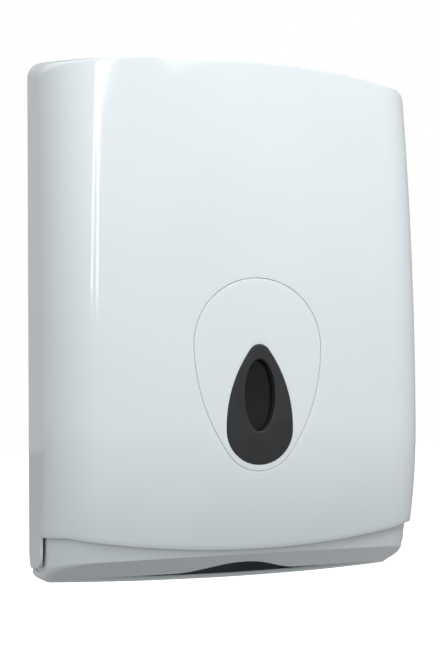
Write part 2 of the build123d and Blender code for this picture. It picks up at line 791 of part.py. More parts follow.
def lock_tongue():
    """cam that points to the wall when unlocked"""
    slab = Pos(0, -lock_depth) * Circle(tongue_width / 2)
    slab += Pos(0, -lock_depth + tongue_reach / 2) * Rectangle(tongue_width, tongue_reach)
    slab = fillet(slab.vertices().group_by(Axis.Y)[-1], tongue_tip_radius)
    slab -= Pos(0, -lock_depth) * Rectangle(square_width, square_width)
    return Pos(0, 0, tongue_low) * extrude(slab, tongue_thickness)


def tongue_screw():
    low = tongue_low - screw_head_height
    head = rod_z(screw_head_diameter / 2, 0, -lock_depth, low, tongue_low)
    head = fillet(head.edges().filter_by(GeomType.CIRCLE).sort_by(Axis.Z)[0], screw_crown_radius)
    for wide, deep in recess_arms():
        head -= box(-wide / 2, wide / 2, -lock_depth - deep / 2, -lock_depth + deep / 2,
                    low - overrun, low + screw_recess)
    return head + rod_z(screw_diameter / 2, 0, -lock_depth, tongue_low, tongue_low + tongue_screw_grip)


def write(name, solids):
    """one file for one node, lowered to the datum"""
    solids = solids if isinstance(solids, list) else [solids]
    placed = [Pos(0, 0, -datum_height) * solid for solid in solids]
    shape = placed[0] if len(placed) == 1 else Compound(children=placed)
    export_step(shape, os.path.join("parts", name + ".step"))


def main():
    os.makedirs("parts", exist_ok=True)
    guide, pin, bush = towel_guide(), hinge_pin(), hinge_bush()
    nodes = {
        "front_cover": front_cover(),
        "window_panel": window_panel(),
        "teardrop_bezel": teardrop_bezel(),
        "sight_lens": sight_lens(),
        "lens_frame": lens_frame(),
        "panel_retainers": panel_retainers(),
        "bezel_retainers": bezel_retainers(),
        "base_tray": base_tray(),
        "back_plate": back_plate(),
        "tray_screws": tray_screws(),
        "towel_guide_right": guide,
        "towel_guide_left": mirror(guide, Plane.YZ),
        "guide_screws": guide_screws(),
        "hinge_pin_right": pin,
        "hinge_pin_left": mirror(pin, Plane.YZ),
        "hinge_bush_right": bush,
        "hinge_bush_left": mirror(bush, Plane.YZ),
        "lock_keeper": lock_keeper(),
        "keeper_screws": keeper_screws(),
        "lock_body": lock_body(),
        "lock_nut": lock_nut(),
        "lock_plug": lock_plug(),
        "lock_tongue": lock_tongue(),
        "tongue_screw": tongue_screw(),
    }
    for name, solids in nodes.items():
        write(name, solids)


main()
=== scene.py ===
import bpy
import bmesh
import math
from mathutils import Matrix, Vector


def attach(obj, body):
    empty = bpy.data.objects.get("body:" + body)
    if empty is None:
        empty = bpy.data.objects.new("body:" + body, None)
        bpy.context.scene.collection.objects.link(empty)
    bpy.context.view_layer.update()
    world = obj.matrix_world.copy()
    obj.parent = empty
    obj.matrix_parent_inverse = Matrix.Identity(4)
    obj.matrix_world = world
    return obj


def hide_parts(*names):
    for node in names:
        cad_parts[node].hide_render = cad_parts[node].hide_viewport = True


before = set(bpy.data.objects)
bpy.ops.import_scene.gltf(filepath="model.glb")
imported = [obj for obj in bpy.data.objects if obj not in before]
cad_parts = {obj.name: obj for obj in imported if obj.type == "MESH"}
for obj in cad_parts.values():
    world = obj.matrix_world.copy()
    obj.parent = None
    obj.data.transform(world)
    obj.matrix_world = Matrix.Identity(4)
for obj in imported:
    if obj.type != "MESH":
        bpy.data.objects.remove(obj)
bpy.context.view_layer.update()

# Folded towel dispenser. Shapes are worked out in millimetres, with x to the right, the front facing
# -y and heights above a level just under the tray; makePiece brings them to the frame in metres.

camera = {
    "place": (-0.2483, -0.8147, -0.0610),
    "yaw": 17.6435,
    "pitch": 0.169,
    "roll": -0.258,
    "lens": 57.57,
    "shiftY": 0.0717,
}


def makeCamera():
    yaw, pitch, roll = (math.radians(camera[k]) for k in ("yaw", "pitch", "roll"))
    ahead = Vector((math.sin(yaw) * math.cos(pitch), math.cos(yaw) * math.cos(pitch), math.sin(pitch)))
    right = Vector((math.cos(yaw), -math.sin(yaw), 0))
    up = right.cross(ahead)
    turnedRight = right * math.cos(roll) + up * math.sin(roll)
    turnedUp = up * math.cos(roll) - right * math.sin(roll)
    data = bpy.data.cameras.new("camera")
    data.lens = camera["lens"]
    data.sensor_width = 36
    data.shift_y = camera["shiftY"]
    data.clip_start = 0.01
    obj = bpy.data.objects.new("camera", data)
    turn = Matrix((turnedRight, turnedUp, -ahead)).transposed()
    obj.matrix_world = Matrix.Translation(camera["place"]) @ turn.to_4x4()
    bpy.context.scene.collection.objects.link(obj)
    bpy.context.scene.camera = obj


makeCamera()
print("camera placed")


def newFinish(name):
    material = bpy.data.materials.new(name)
    material.use_nodes = True
    nodes, links = material.node_tree.nodes, material.node_tree.links
    shader = nodes["Principled BSDF"]
    where = nodes.new("ShaderNodeTexCoord")
    return material, nodes, links, shader, where.outputs["Object"]


def addNoise(nodes, links, where, scale, detail=3.0, stretch=None):
    noise = nodes.new("ShaderNodeTexNoise")
    noise.inputs["Scale"].default_value = scale
    noise.inputs["Detail"].default_value = detail
    if stretch:
        mapping = nodes.new("ShaderNodeMapping")
        mapping.inputs["Scale"].default_value = stretch
        links.new(where, mapping.inputs["Vector"])
        where = mapping.outputs["Vector"]
    links.new(where, noise.inputs["Vector"])
    return noise.outputs["Fac"]


def spread(nodes, links, value, low, high, fromLow=0.3, fromHigh=0.7):
    ranged = nodes.new("ShaderNodeMapRange")
    ranged.inputs["From Min"].default_value = fromLow
    ranged.inputs["From Max"].default_value = fromHigh
    ranged.inputs["To Min"].default_value = low
    ranged.inputs["To Max"].default_value = high
    links.new(value, ranged.inputs["Value"])
    return ranged.outputs["Result"]


def tint(nodes, links, value, dark, light):
    ramp = nodes.new("ShaderNodeValToRGB")
    ramp.color_ramp.elements[0].position = 0.3
    ramp.color_ramp.elements[1].position = 0.7
    ramp.color_ramp.elements[0].color = (*dark, 1)
    ramp.color_ramp.elements[1].color = (*light, 1)
    links.new(value, ramp.inputs["Fac"])
    return ramp.outputs["Color"]


def addBump(nodes, links, height, shader, strength, distance, below=None):
    bump = nodes.new("ShaderNodeBump")
    bump.inputs["Strength"].default_value = strength
    bump.inputs["Distance"].default_value = distance
    links.new(height, bump.inputs["Height"])
    if below:
        links.new(below, bump.inputs["Normal"])
    links.new(bump.outputs["Normal"], shader.inputs["Normal"])
    return bump.outputs["Normal"]


glossWhite = {
    "dark": (0.755, 0.81, 0.83), "light": (0.775, 0.83, 0.85), "cloud": 14.0,
    "polish": 60.0, "roughness": (0.07, 0.12), "ior": 1.5,
    "sink": 22.0, "sinkStrength": 0.12, "sinkDepth": 0.0002,
    "peel": 420.0, "peelStrength": 0.25, "peelDepth": 0.00004,
}


def makeGlossWhite():
    # polished moulding: a faint orange peel, slow sink waves and slightly uneven polish
    material, nodes, links, shader, where = newFinish("whiteAbsGloss")
    cloud = addNoise(nodes, links, where, glossWhite["cloud"], 2.0)
    colour = tint(nodes, links, cloud, glossWhite["dark"], glossWhite["light"])
    links.new(colour, shader.inputs["Base Color"])
    polish = addNoise(nodes, links, where, glossWhite["polish"], 4.0)
    links.new(spread(nodes, links, polish, *glossWhite["roughness"]), shader.inputs["Roughness"])
    sink = addNoise(nodes, links, where, glossWhite["sink"], 1.0)
    waves = addBump(nodes, links, sink, shader, glossWhite["sinkStrength"], glossWhite["sinkDepth"])
    peel = addNoise(nodes, links, where, glossWhite["peel"], 2.0)
    addBump(nodes, links, peel, shader, glossWhite["peelStrength"], glossWhite["peelDepth"], waves)
    shader.inputs["IOR"].default_value = glossWhite["ior"]
    return material


matteWhite = {
    "dark": (0.68, 0.69, 0.68), "light": (0.76, 0.77, 0.76), "cloud": 9.0, "roughness": (0.42, 0.6),
    "ior": 1.5, "grain": 2600.0, "grainStrength": 0.35, "grainDepth": 0.00008,
}


def makeMatteWhite():
    # spark-eroded inner mouldings: fine even grain and a dull sheen
    material, nodes, links, shader, where = newFinish("whiteAbsMatte")
    cloud = addNoise(nodes, links, where, matteWhite["cloud"], 3.0)
    colour = tint(nodes, links, cloud, matteWhite["dark"], matteWhite["light"])
    links.new(colour, shader.inputs["Base Color"])
    grain = addNoise(nodes, links, where, matteWhite["grain"], 2.0)
    links.new(spread(nodes, links, grain, *matteWhite["roughness"]), shader.inputs["Roughness"])
    addBump(nodes, links, grain, shader, matteWhite["grainStrength"], matteWhite["grainDepth"])
    shader.inputs["IOR"].default_value = matteWhite["ior"]
    return material


darkGrey = {
    "dark": (0.030, 0.031, 0.033), "light": (0.040, 0.041, 0.043), "cloud": 40.0,
    "polish": 130.0, "roughness": (0.30, 0.38), "specular": 0.20,
    "grain": 1500.0, "grainStrength": 0.25, "grainDepth": 0.00004,
}


def makeDarkGrey():
    # satin dark moulding with a fine grain that breaks up the reflections
    material, nodes, links, shader, where = newFinish("darkGreyAbs")
    cloud = addNoise(nodes, links, where, darkGrey["cloud"], 3.0)
    colour = tint(nodes, links, cloud, darkGrey["dark"], darkGrey["light"])
    links.new(colour, shader.inputs["Base Color"])
    polish = addNoise(nodes, links, where, darkGrey["polish"], 3.0)
    links.new(spread(nodes, links, polish, *darkGrey["roughness"]), shader.inputs["Roughness"])
    grain = addNoise(nodes, links, where, darkGrey["grain"], 2.0)
    addBump(nodes, links, grain, shader, darkGrey["grainStrength"], darkGrey["grainDepth"])
    shader.inputs["Specular IOR Level"].default_value = darkGrey["specular"]
    return material


smoked = {
    "dark": (0.010, 0.010, 0.011), "light": (0.016, 0.016, 0.017), "haze": 70.0,
    "roughness": (0.05, 0.12), "clear": 0.25, "ior": 1.58, "specular": 0.06,
}


def makeSmoked():
    # smoked polycarbonate: nearly opaque, polished, with faint handling haze
    material, nodes, links, shader, where = newFinish("smokedClear")
    haze = addNoise(nodes, links, where, smoked["haze"], 4.0)
    links.new(tint(nodes, links, haze, smoked["dark"], smoked["light"]), shader.inputs["Base Color"])
    links.new(spread(nodes, links, haze, *smoked["roughness"]), shader.inputs["Roughness"])
    shader.inputs["Transmission Weight"].default_value = smoked["clear"]
    shader.inputs["IOR"].default_value = smoked["ior"]
    shader.inputs["Specular IOR Level"].default_value = smoked["specular"]
    return material


acetal = {
    "dark": (0.66, 0.66, 0.62), "light": (0.74, 0.74, 0.70), "cloud": 120.0, "roughness": (0.28, 0.42),
    "rings": 900.0, "ringStretch": (1.0, 0.05, 0.05), "ringStrength": 0.3, "ringDepth": 0.00003,
    "wax": 0.1, "waxDepth": 0.001,
}


def makeAcetal():
    # turned natural acetal: slightly waxy, fine lathe rings along x
    material, nodes, links, shader, where = newFinish("naturalAcetal")
    cloud = addNoise(nodes, links, where, acetal["cloud"], 2.0)
    links.new(tint(nodes, links, cloud, acetal["dark"], acetal["light"]), shader.inputs["Base Color"])
    rings = addNoise(nodes, links, where, acetal["rings"], 1.0, acetal["ringStretch"])
    links.new(spread(nodes, links, rings, *acetal["roughness"]), shader.inputs["Roughness"])
    addBump(nodes, links, rings, shader, acetal["ringStrength"], acetal["ringDepth"])
    shader.inputs["Subsurface Weight"].default_value = acetal["wax"]
    shader.inputs["Subsurface Scale"].default_value = acetal["waxDepth"]
    return material


steel = {"stain": 160.0, "brush": 1400.0, "brushStrength": 0.2, "brushDepth": 0.00002}
springSteel = {
    "dark": (0.34, 0.34, 0.35), "light": (0.46, 0.46, 0.47),
    "roughness": (0.22, 0.36), "stretch": (0.1, 1, 1),
}
zincSteel = {
    "dark": (0.50, 0.52, 0.55), "light": (0.68, 0.69, 0.72),
    "roughness": (0.24, 0.42), "stretch": (1, 1, 0.15),
}
chromedZinc = {
    "dark": (0.70, 0.70, 0.71), "light": (0.78, 0.78, 0.79),
    "roughness": (0.05, 0.12), "stretch": (1, 1, 0.3),
}


def makeSteel(name, kind):
    # drawn or plated steel: brushed along one axis, with small stains
    material, nodes, links, shader, where = newFinish(name)
    stain = addNoise(nodes, links, where, steel["stain"], 4.0)
    links.new(tint(nodes, links, stain, kind["dark"], kind["light"]), shader.inputs["Base Color"])
    brush = addNoise(nodes, links, where, steel["brush"], 2.0, kind["stretch"])
    links.new(spread(nodes, links, brush, *kind["roughness"]), shader.inputs["Roughness"])
    addBump(nodes, links, brush, shader, steel["brushStrength"], steel["brushDepth"])
    shader.inputs["Metallic"].default_value = 1.0
    return material


finishes = {
    "white_abs_gloss": makeGlossWhite(),
    "white_abs_matte": makeMatteWhite(),
    "dark_grey_abs": makeDarkGrey(),
    "smoked_clear": makeSmoked(),
    "natural_acetal": makeAcetal(),
    "spring_steel": makeSteel("springSteel", springSteel),
    "zinc_steel": makeSteel("zincSteel", zincSteel),
    "chromed_zinc": makeSteel("chromedZinc", chromedZinc),
}
nodeSlots = {
    "back_plate": "white_abs_matte", "towel_guide_right": "white_abs_matte",
    "towel_guide_left": "white_abs_matte", "lens_frame": "white_abs_gloss",
    "tray_screws": "zinc_steel", "guide_screws": "zinc_steel", "keeper_screws": "zinc_steel",
    "tongue_screw": "zinc_steel", "hinge_pin_right": "zinc_steel", "hinge_pin_left": "zinc_steel",
    "lock_keeper": "zinc_steel", "lock_nut": "zinc_steel", "lock_tongue": "zinc_steel",
    "panel_retainers": "spring_steel", "bezel_retainers": "spring_steel",
    "hinge_bush_right": "natural_acetal", "hinge_bush_left": "natural_acetal",
    "lock_body": "chromed_zinc", "lock_plug": "chromed_zinc",
}
for name, slot in nodeSlots.items():
    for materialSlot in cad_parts[name].material_slots:
        materialSlot.material = finishes[slot]
print("finishes made")


# the form shared by cover, window and tray
form = {
    "half": 143.0,          # half width of the cover
    "depth": 126.0,         # where the front stands furthest out
    "fullest": 115.0,       # height of that place
    "bow": 510.0,           # plan curve of the front
    "upper": 1720.0,        # side-view curve of the front above the fullest place
    "lower": 290.0,         # and below it
    "corner": 44.0,         # upright corners
    "crown": 408.0,         # top of the arch at the wall
    "crownArch": 660.0,
    "crownSlope": 15.75,
    "seam": 31.0,           # seam at the middle
    "seamArch": 765.0,
    "seamTop": 41.6,        # where it turns down to the ear, beside the corner
    "seamTopX": 129.0,
    "seamFall": 0.0123,
    "seamBlend": 0.02,
    "seamSide": 39.1,       # and at the ear
    "datum": 210.0,         # height of the frame's origin
}
axisY = form["bow"] - form["depth"]
sideCornerX = form["half"] - form["corner"]


def smooth(value):
    value = min(max(value, 0.0), 1.0)
    return value * value * (3 - 2 * value)


def barrel(height, inset=0.0):
    curve = form["upper"] if height > form["fullest"] else form["lower"]
    return form["bow"] - curve + math.sqrt((curve - inset) ** 2 - (height - form["fullest"]) ** 2)


def frontY(x, height, inset=0.0):
    return axisY - math.sqrt(barrel(height, inset) ** 2 - x ** 2)


def crownAt(x, y):
    slope = math.radians(form["crownSlope"])
    arch = math.sqrt(form["crownArch"] ** 2 - x ** 2) - form["crownArch"]
    return form["crown"] + y * math.tan(slope) + arch / math.cos(slope)


def seamAt(x):
    # an arc over the front that levels out round the corners and falls to the ears
    arc = form["seam"] + form["seamArch"] - math.sqrt(form["seamArch"] ** 2 - x ** 2)
    fall = form["seamTop"] - form["seamFall"] * max(abs(x) - form["seamTopX"], 0.0) ** 2
    return (arc + fall) / 2 - math.sqrt((arc - fall) ** 2 / 4 + form["seamBlend"])


def planStations(sides, corners, fronts):
    # (zone, share) from the left rear over the front to the right rear; sides lie closer at their ends
    run = [(1 - math.cos(math.pi * i / sides)) / 2 for i in range(sides)]
    turn = [i / corners for i in range(corners)]
    left = [(-2, s) for s in run] + [(-1, s) for s in turn]
    right = [(-zone, share) for zone, share in reversed(left)]
    return left + [(0, 2 * i / fronts - 1) for i in range(fronts + 1)] + right


def planPoint(station, height, inset, rear):
    # place and outward direction on the upright wall
    zone, share = station
    radius = form["corner"] - inset
    across = barrel(height, inset)
    cornerY = axisY - math.sqrt((across - radius) ** 2 - sideCornerX ** 2)
    side = -1 if zone < 0 else 1
    if abs(zone) == 2:
        return side * (sideCornerX + radius), rear + share * (cornerY - rear), (side, 0.0)
    if abs(zone) == 1:
        turn = share * math.acos(sideCornerX / (across - radius))
        return (side * (sideCornerX + radius * math.cos(turn)), cornerY - radius * math.sin(turn),
                (side * math.cos(turn), -math.sin(turn)))
    x = share * sideCornerX * across / (across - radius)
    y = axisY - math.sqrt(across ** 2 - x ** 2)
    return x, y, (x / across, (y - axisY) / across)


def roundEdge(start, edge, end, turn, steps):
    # points of a rounded edge between two tangent points, without the first
    weight = math.cos(turn / 2)
    points = []
    for i in range(1, steps + 1):
        t = i / steps
        a, b, c = (1 - t) ** 2, 2 * weight * t * (1 - t), t * t
        points.append((start * a + edge * b + end * c) / (a + b + c))
    return points


def shapeGrid(columns, rows, place):
    # a sheet of squares laid onto the shape; the last row or column may meet the first
    sheet = bmesh.new()
    bmesh.ops.create_grid(sheet, x_segments=columns - 1, y_segments=rows - 1, size=1)
    sheet.verts.ensure_lookup_table()
    for j in range(rows):
        for i in range(columns):
            sheet.verts[j * columns + i].co = place(i, j)
    return sheet


def joinInto(target, part):
    mesh = bpy.data.meshes.new("part")
    part.to_mesh(mesh)
    target.from_mesh(mesh)
    bpy.data.meshes.remove(mesh)
    part.free()


def weld(shape, distance=0.02):
    bmesh.ops.remove_doubles(shape, verts=shape.verts, dist=distance)
    bmesh.ops.dissolve_degenerate(shape, dist=distance / 10, edges=shape.edges)


def tubeShell(axis, outer, inner, start, end, place, blind=0.0, sides=48):
    # a closed bush or boss: an annular wall along an axis, with a closed end when blind
    along = {"x": 0, "y": 1, "z": 2}[axis]
    profile = [(outer, start), (outer, end), (inner, end), (inner, start), (outer, start)]
    if blind:
        profile = [(inner, start), (outer, start), (outer, end), (0, end), (0, end - blind),
                   (inner, end - blind), (inner, start)]

    def onShell(i, j):
        turn = 2 * math.pi * i / sides
        radius, run = profile[j]
        flat = [radius * math.cos(turn), radius * math.sin(turn)]
        flat.insert(along, run)
        return Vector(flat) + Vector(place)

    shell = shapeGrid(sides + 1, len(profile), onShell)
    weld(shell, 0.001)
    bmesh.ops.delete(shell, geom=[edge for edge in shell.edges if not edge.link_faces], context="EDGES")
    bmesh.ops.recalc_face_normals(shell, faces=shell.faces)
    return shell


def makePiece(name, shape, finish, body, node, sharp=32.0):
    bmesh.ops.translate(shape, verts=shape.verts, vec=(0, 0, -form["datum"]))
    bmesh.ops.scale(shape, verts=shape.verts, vec=(0.001, 0.001, 0.001))
    for face in shape.faces:
        face.smooth = True
    for edge in shape.edges:
        if len(edge.link_faces) == 2 and edge.calc_face_angle(0.0) > math.radians(sharp):
            edge.smooth = False
    mesh = bpy.data.meshes.new(name)
    shape.to_mesh(mesh)
    openEdges = sum(1 for edge in shape.edges if len(edge.link_faces) != 2)
    volume = round(shape.calc_volume(signed=True) * 1e6, 2)
    print(name, len(mesh.polygons), "faces,", openEdges, "open edges, volume", volume, "cm3")
    shape.free()
    mesh.materials.append(finishes[finish])
    piece = bpy.data.objects.new(name, mesh)
    bpy.context.scene.collection.objects.link(piece)
    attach(piece, body)
    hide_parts(node)
    return piece


# outlines of the window panel, its dark bezel and the sight hole
egg = {"topR": 46.6, "topZ": 173.7, "lowR": 27.0, "lowZ": 113.4, "sideR": 130.0}
drop = {"topR": 8.0, "topZ": 166.3, "lowR": 24.2, "lowZ": 115.1, "sideR": 92.0}
oval = {"halfX": 11.0, "halfZ": 25.0}
windowZ = 139.0
windowReach = 120.0
rays = 192


def outside(shape, x, z):
    # distance outside an outline of two circles joined by tangent side arcs
    toTop, toLow = shape["sideR"] - shape["topR"], shape["sideR"] - shape["lowR"]
    rise = shape["topZ"] - shape["lowZ"]
    along = (toLow ** 2 - toTop ** 2 + rise ** 2) / (2 * rise)
    sideX, sideZ = -math.sqrt(toLow ** 2 - along ** 2), shape["lowZ"] + along
    turn = math.atan2(z - sideZ, abs(x) - sideX)
    if turn > math.atan2(shape["topZ"] - sideZ, -sideX):
        return math.hypot(x, z - shape["topZ"]) - shape["topR"]
    if turn < math.atan2(shape["lowZ"] - sideZ, -sideX):
        return math.hypot(x, z - shape["lowZ"]) - shape["lowR"]
    return math.hypot(abs(x) - sideX, z - sideZ) - shape["sideR"]


def onOutline(shape, turn, grow):
    # where a ray from the window's centre meets the outline grown by grow
    across, up = math.cos(turn), math.sin(turn)
    if shape is oval:
        a, b = oval["halfX"] + grow, oval["halfZ"] + grow
        reach = a * b / math.hypot(b * across, a * up)
        return reach * across, windowZ + reach * up
    low, high = 0.0, windowReach
    for step in range(32):
        middle = (low + high) / 2
        if outside(shape, middle * across, windowZ + middle * up) > grow:
            high = middle
        else:
            low = middle
    return low * across, windowZ + low * up


def edgeSteps(shape, grow, depth, radius, steps, inward=1):
    # a rounded edge from a wall onto the face: the outline draws in as the depth falls
    rows = []
    for i in range(steps + 1):
        turn = math.pi / 2 * i / steps
        drawnIn = inward * radius * (1 - math.cos(turn))
        rows.append((shape, grow - drawnIn, depth + radius * (1 - math.sin(turn))))
    return rows


def between(first, last, steps):
    # rows across the face from one outline to another
    return [(first, last, i / steps) for i in range(1, steps)]


def ringPiece(profile):
    # a closed ring whose section is given by outlines and depths below the front's surface
    turns = [2 * math.pi * i / rays for i in range(rays)] + [0.0]
    known = {}

    def at(row, i):
        shape, grow, depth = row
        key = (id(shape), grow, i)
        if key not in known:
            known[key] = onOutline(shape, turns[i], grow)
        return known[key], depth

    def place(i, j):
        row = profile[j]
        if isinstance(row[0], tuple):
            (x0, z0), d0 = at(row[0], i)
            (x1, z1), d1 = at(row[1], i)
            share = row[2]
            x, z, depth = x0 + (x1 - x0) * share, z0 + (z1 - z0) * share, d0 + (d1 - d0) * share
        elif row[0] is None:
            x, z, depth = 0.0, windowZ, row[2]
        else:
            (x, z), depth = at(row, i)
        return Vector((x, frontY(x, z, depth), z))

    ring = shapeGrid(rays + 1, len(profile), place)
    weld(ring, 0.004)
    return ring


cover = {
    "wall": 2.0,
    "gap": 1.0,             # rear edge to the wall
    "sides": 20, "corners": 16, "fronts": 76, "rows": 92,
    "shoulder": 13.0,       # rounding of the top's edge at the sides
    "brow": 1.6,            # and at the front
    "browRun": 1.15,
    "edge": 0.45,           # rounding of the rims
    "rim": 9, "capRows": 22, "windowRows": 8, "earRows": 8, "rears": 60, "crowding": 2.2,
    "capEase": 0.9,
    "rimAngle": 70.0,       # sharper turns than this, up to a little above the seam, are the rims
    "rimOver": 1.0,
    "windowX": 58.0, "windowLow": 78.0, "windowHigh": 229.0,
    "fit": 0.25,            # gap round the panel
    "windowEdge": 0.35, "windowMid": 1.3, "panel": 2.4, "ledge": 6.0,
    "earDepth": 61.0, "earHeight": 14.5, "earCorner": 14.5,
    "hingeY": -12.0, "hingeZ": 20.0, "bossR": 7.0, "boreR": 4.5, "bossLength": 9.0, "bossEnd": 1.0,
    "lockY": -30.0, "pocketR": 13.5, "pocketLip": 1.2, "pocketFloor": 392.04, "barrelR": 8.1,
    "padLow": 389.04, "padSink": 1.9,
}


def earBottom(y):
    # lower edge of the ear: round front corner, sloping underside, round end about the hinge
    centreY, centreZ = -(cover["earDepth"] - cover["earCorner"]), cover["earHeight"] + cover["earCorner"]
    endR = -cover["hingeY"] - cover["gap"]
    run, fall = cover["hingeY"] - centreY, cover["earHeight"] - cover["hingeZ"]
    lean = math.atan2(-fall, run) - math.asin(endR / math.hypot(run, fall))
    endY, endZ = cover["hingeY"] + endR * math.sin(lean), cover["hingeZ"] - endR * math.cos(lean)
    if y < centreY:
        return centreZ - math.sqrt(max(cover["earCorner"] ** 2 - (y - centreY) ** 2, 0.0))
    if y < endY:
        return cover["earHeight"] + (endZ - cover["earHeight"]) * (y - centreY) / (endY - centreY)
    return cover["hingeZ"] - math.sqrt(max(endR ** 2 - (y - cover["hingeY"]) ** 2, 0.0))


def crownEdge(station):
    # tangent points and the corner between the upright wall and the top
    rear = -cover["gap"]
    height = form["crown"]
    for step in range(12):
        x, y, out = planPoint(station, height, 0.0, rear)
        height = crownAt(x, y)
    zone, share = station
    blend = {2: 1.0, 1: 1.0 - smooth(share * cover["browRun"]), 0: 0.0}[abs(zone)]
    radius = cover["brow"] + (cover["shoulder"] - cover["brow"]) * blend
    inX, inY = x - out[0], y - out[1]
    rise = crownAt(inX, inY) - height
    turn = math.pi / 2 - math.atan(rise)
    reach = radius * math.tan(turn / 2)
    lowX, lowY, out = planPoint(station, height - reach, 0.0, rear)
    flat = reach * math.cos(math.atan(rise))
    endX, endY = x - out[0] * flat, min(y - out[1] * flat, rear)
    end = Vector((endX, endY, crownAt(endX, endY)))
    return Vector((lowX, lowY, height - reach)), Vector((x, y, height)), end, turn


def makeCover():
    stations = planStations(cover["sides"], cover["corners"], cover["fronts"])
    count, rows, rim = len(stations), cover["rows"], cover["rim"]
    edges = [crownEdge(station) for station in stations]
    arcs = [roundEdge(*edge, rim) for edge in edges]
    seams = []
    for station in stations:
        height = form["seamSide"]
        for step in range(6):
            height = seamAt(planPoint(station, height, 0.0, -cover["gap"])[0])
        seams.append(height)

    def onWall(i, j):
        if j >= rows:
            return arcs[i][j - rows]
        height = seams[i] + (edges[i][0].z - seams[i]) * j / (rows - 1)
        x, y, out = planPoint(stations[i], height, 0.0, -cover["gap"])
        return Vector((x, y, height))

    skin = shapeGrid(count, rows + rim, onWall)
    skin.verts.ensure_lookup_table()

    # window: a block of squares comes out and a ring from its border runs to the egg
    middle = rows // 2
    left = min(i for i in range(count) if onWall(i, middle).x > -cover["windowX"] and stations[i][0] == 0)
    right = count - 1 - left
    centre = count // 2
    low = max(j for j in range(rows) if onWall(centre, j).z < cover["windowLow"])
    high = min(j for j in range(rows) if onWall(centre, j).z > cover["windowHigh"])
    border = [(i, low) for i in range(left, right)] + [(right, j) for j in range(low, high)]
    border += [(i, high) for i in range(right, left, -1)] + [(left, j) for j in range(high, low, -1)]
    border.append(border[0])
    inner = set((i, j) for i in range(left + 1, right) for j in range(low + 1, high))
    gone = [skin.verts[j * count + i] for i, j in inner]
    bmesh.ops.delete(skin, geom=gone, context="VERTS")
    across = cover["windowRows"]
    ringRows = [("face", k / across) for k in range(across)]
    rounded = edgeSteps(egg, cover["fit"], 0.0, cover["windowEdge"], 4, -1)
    ringRows += [("egg",) + row[1:] for row in rounded[::-1]]
    ringRows += [("egg", cover["fit"], cover["windowMid"]), ("egg", cover["fit"], cover["panel"])]
    ringRows.append(("egg", cover["fit"] - cover["ledge"] / 2, cover["panel"]))
    ringRows.append(("egg", -cover["ledge"], cover["panel"]))

    def onRing(i, j):
        start = onWall(*border[i])
        turn = math.atan2(start.z - windowZ, start.x)
        kind = ringRows[j]
        if kind[0] == "face":
            x, z = onOutline(egg, turn, cover["fit"] + cover["windowEdge"])
            x, z, depth = start.x + (x - start.x) * kind[1], start.z + (z - start.z) * kind[1], 0.0
        else:
            x, z = onOutline(egg, turn, kind[1])
            depth = kind[2]
        return Vector((x, frontY(x, z, depth), z))

    joinInto(skin, shapeGrid(len(border), len(ringRows), onRing))

    # top: rings from its rounded edge to the lock pocket, then the pocket's wall and floor
    outline = [arc[-1] for arc in arcs]
    first, last = outline[0], outline[-1]
    for k in range(1, cover["rears"]):
        t = 1 - 2 * k / cover["rears"]
        x = last.x * math.sinh(cover["crowding"] * t) / math.sinh(cover["crowding"])
        outline.append(Vector((x, -cover["gap"], crownAt(x, -cover["gap"]))))
    outline.append(first)
    lip, across = cover["pocketLip"], cover["capRows"]
    capRows = [("face", (k / across) ** cover["capEase"]) for k in range(across + 1)]
    for k in range(1, 5):
        turn = k * math.pi / 8
        capRows.append(("pocket", lip * (1 - math.sin(turn)), lip * (1 - math.cos(turn))))
    capRows += [("wall", 0.5), ("floor", 0.0), ("floor", 0.5), ("floor", 1.0)]

    def onCap(i, j):
        start = outline[i]
        away = Vector((start.x, start.y - cover["lockY"])).normalized()
        kind = capRows[j]

        def ring(radius):
            return away.x * radius, cover["lockY"] + away.y * radius

        if kind[0] == "face":
            x, y = ring(cover["pocketR"] + lip)
            x, y = start.x + (x - start.x) * kind[1], start.y + (y - start.y) * kind[1]
            return Vector((x, y, crownAt(x, y)))
        if kind[0] == "pocket":
            x, y = ring(cover["pocketR"] + kind[1])
            return Vector((x, y, crownAt(x, y) - kind[2]))
        if kind[0] == "wall":
            x, y = ring(cover["pocketR"])
            top = crownAt(x, y) - lip
            return Vector((x, y, top + (cover["pocketFloor"] - top) * kind[1]))
        x, y = ring(cover["pocketR"] + (cover["barrelR"] - cover["pocketR"]) * kind[1])
        return Vector((x, y, cover["pocketFloor"]))

    joinInto(skin, shapeGrid(len(outline), len(capRows), onCap))

    # ears: the side squares run on below the seam, beside the tray
    for side in (-1, 1):
        ear = [i for i in range(count) if stations[i][0] == 2 * side or stations[i] == (side, 0.0)]

        def onEar(i, j):
            start = onWall(ear[i], 0)
            y = max(start.y, -cover["earDepth"] + 0.001)
            bottom = earBottom(y)
            return Vector((start.x, start.y, bottom + (start.z - bottom) * j / cover["earRows"]))

        joinInto(skin, shapeGrid(len(ear), cover["earRows"] + 1, onEar))
    weld(skin)
    bmesh.ops.solidify(skin, geom=skin.faces[:], thickness=cover["wall"])
    corners = [edge for edge in skin.edges if len(edge.link_faces) == 2]
    corners = [edge for edge in corners if edge.calc_face_angle(0.0) > math.radians(cover["rimAngle"])]
    rimTop = form["seamTop"] + cover["rimOver"]
    rims = [edge for edge in corners if max(vert.co.z for vert in edge.verts) < rimTop]
    bmesh.ops.bevel(skin, geom=rims, offset=cover["edge"], offset_type="OFFSET", segments=2, profile=0.5,
                    affect="EDGES", clamp_overlap=True, material=-1)

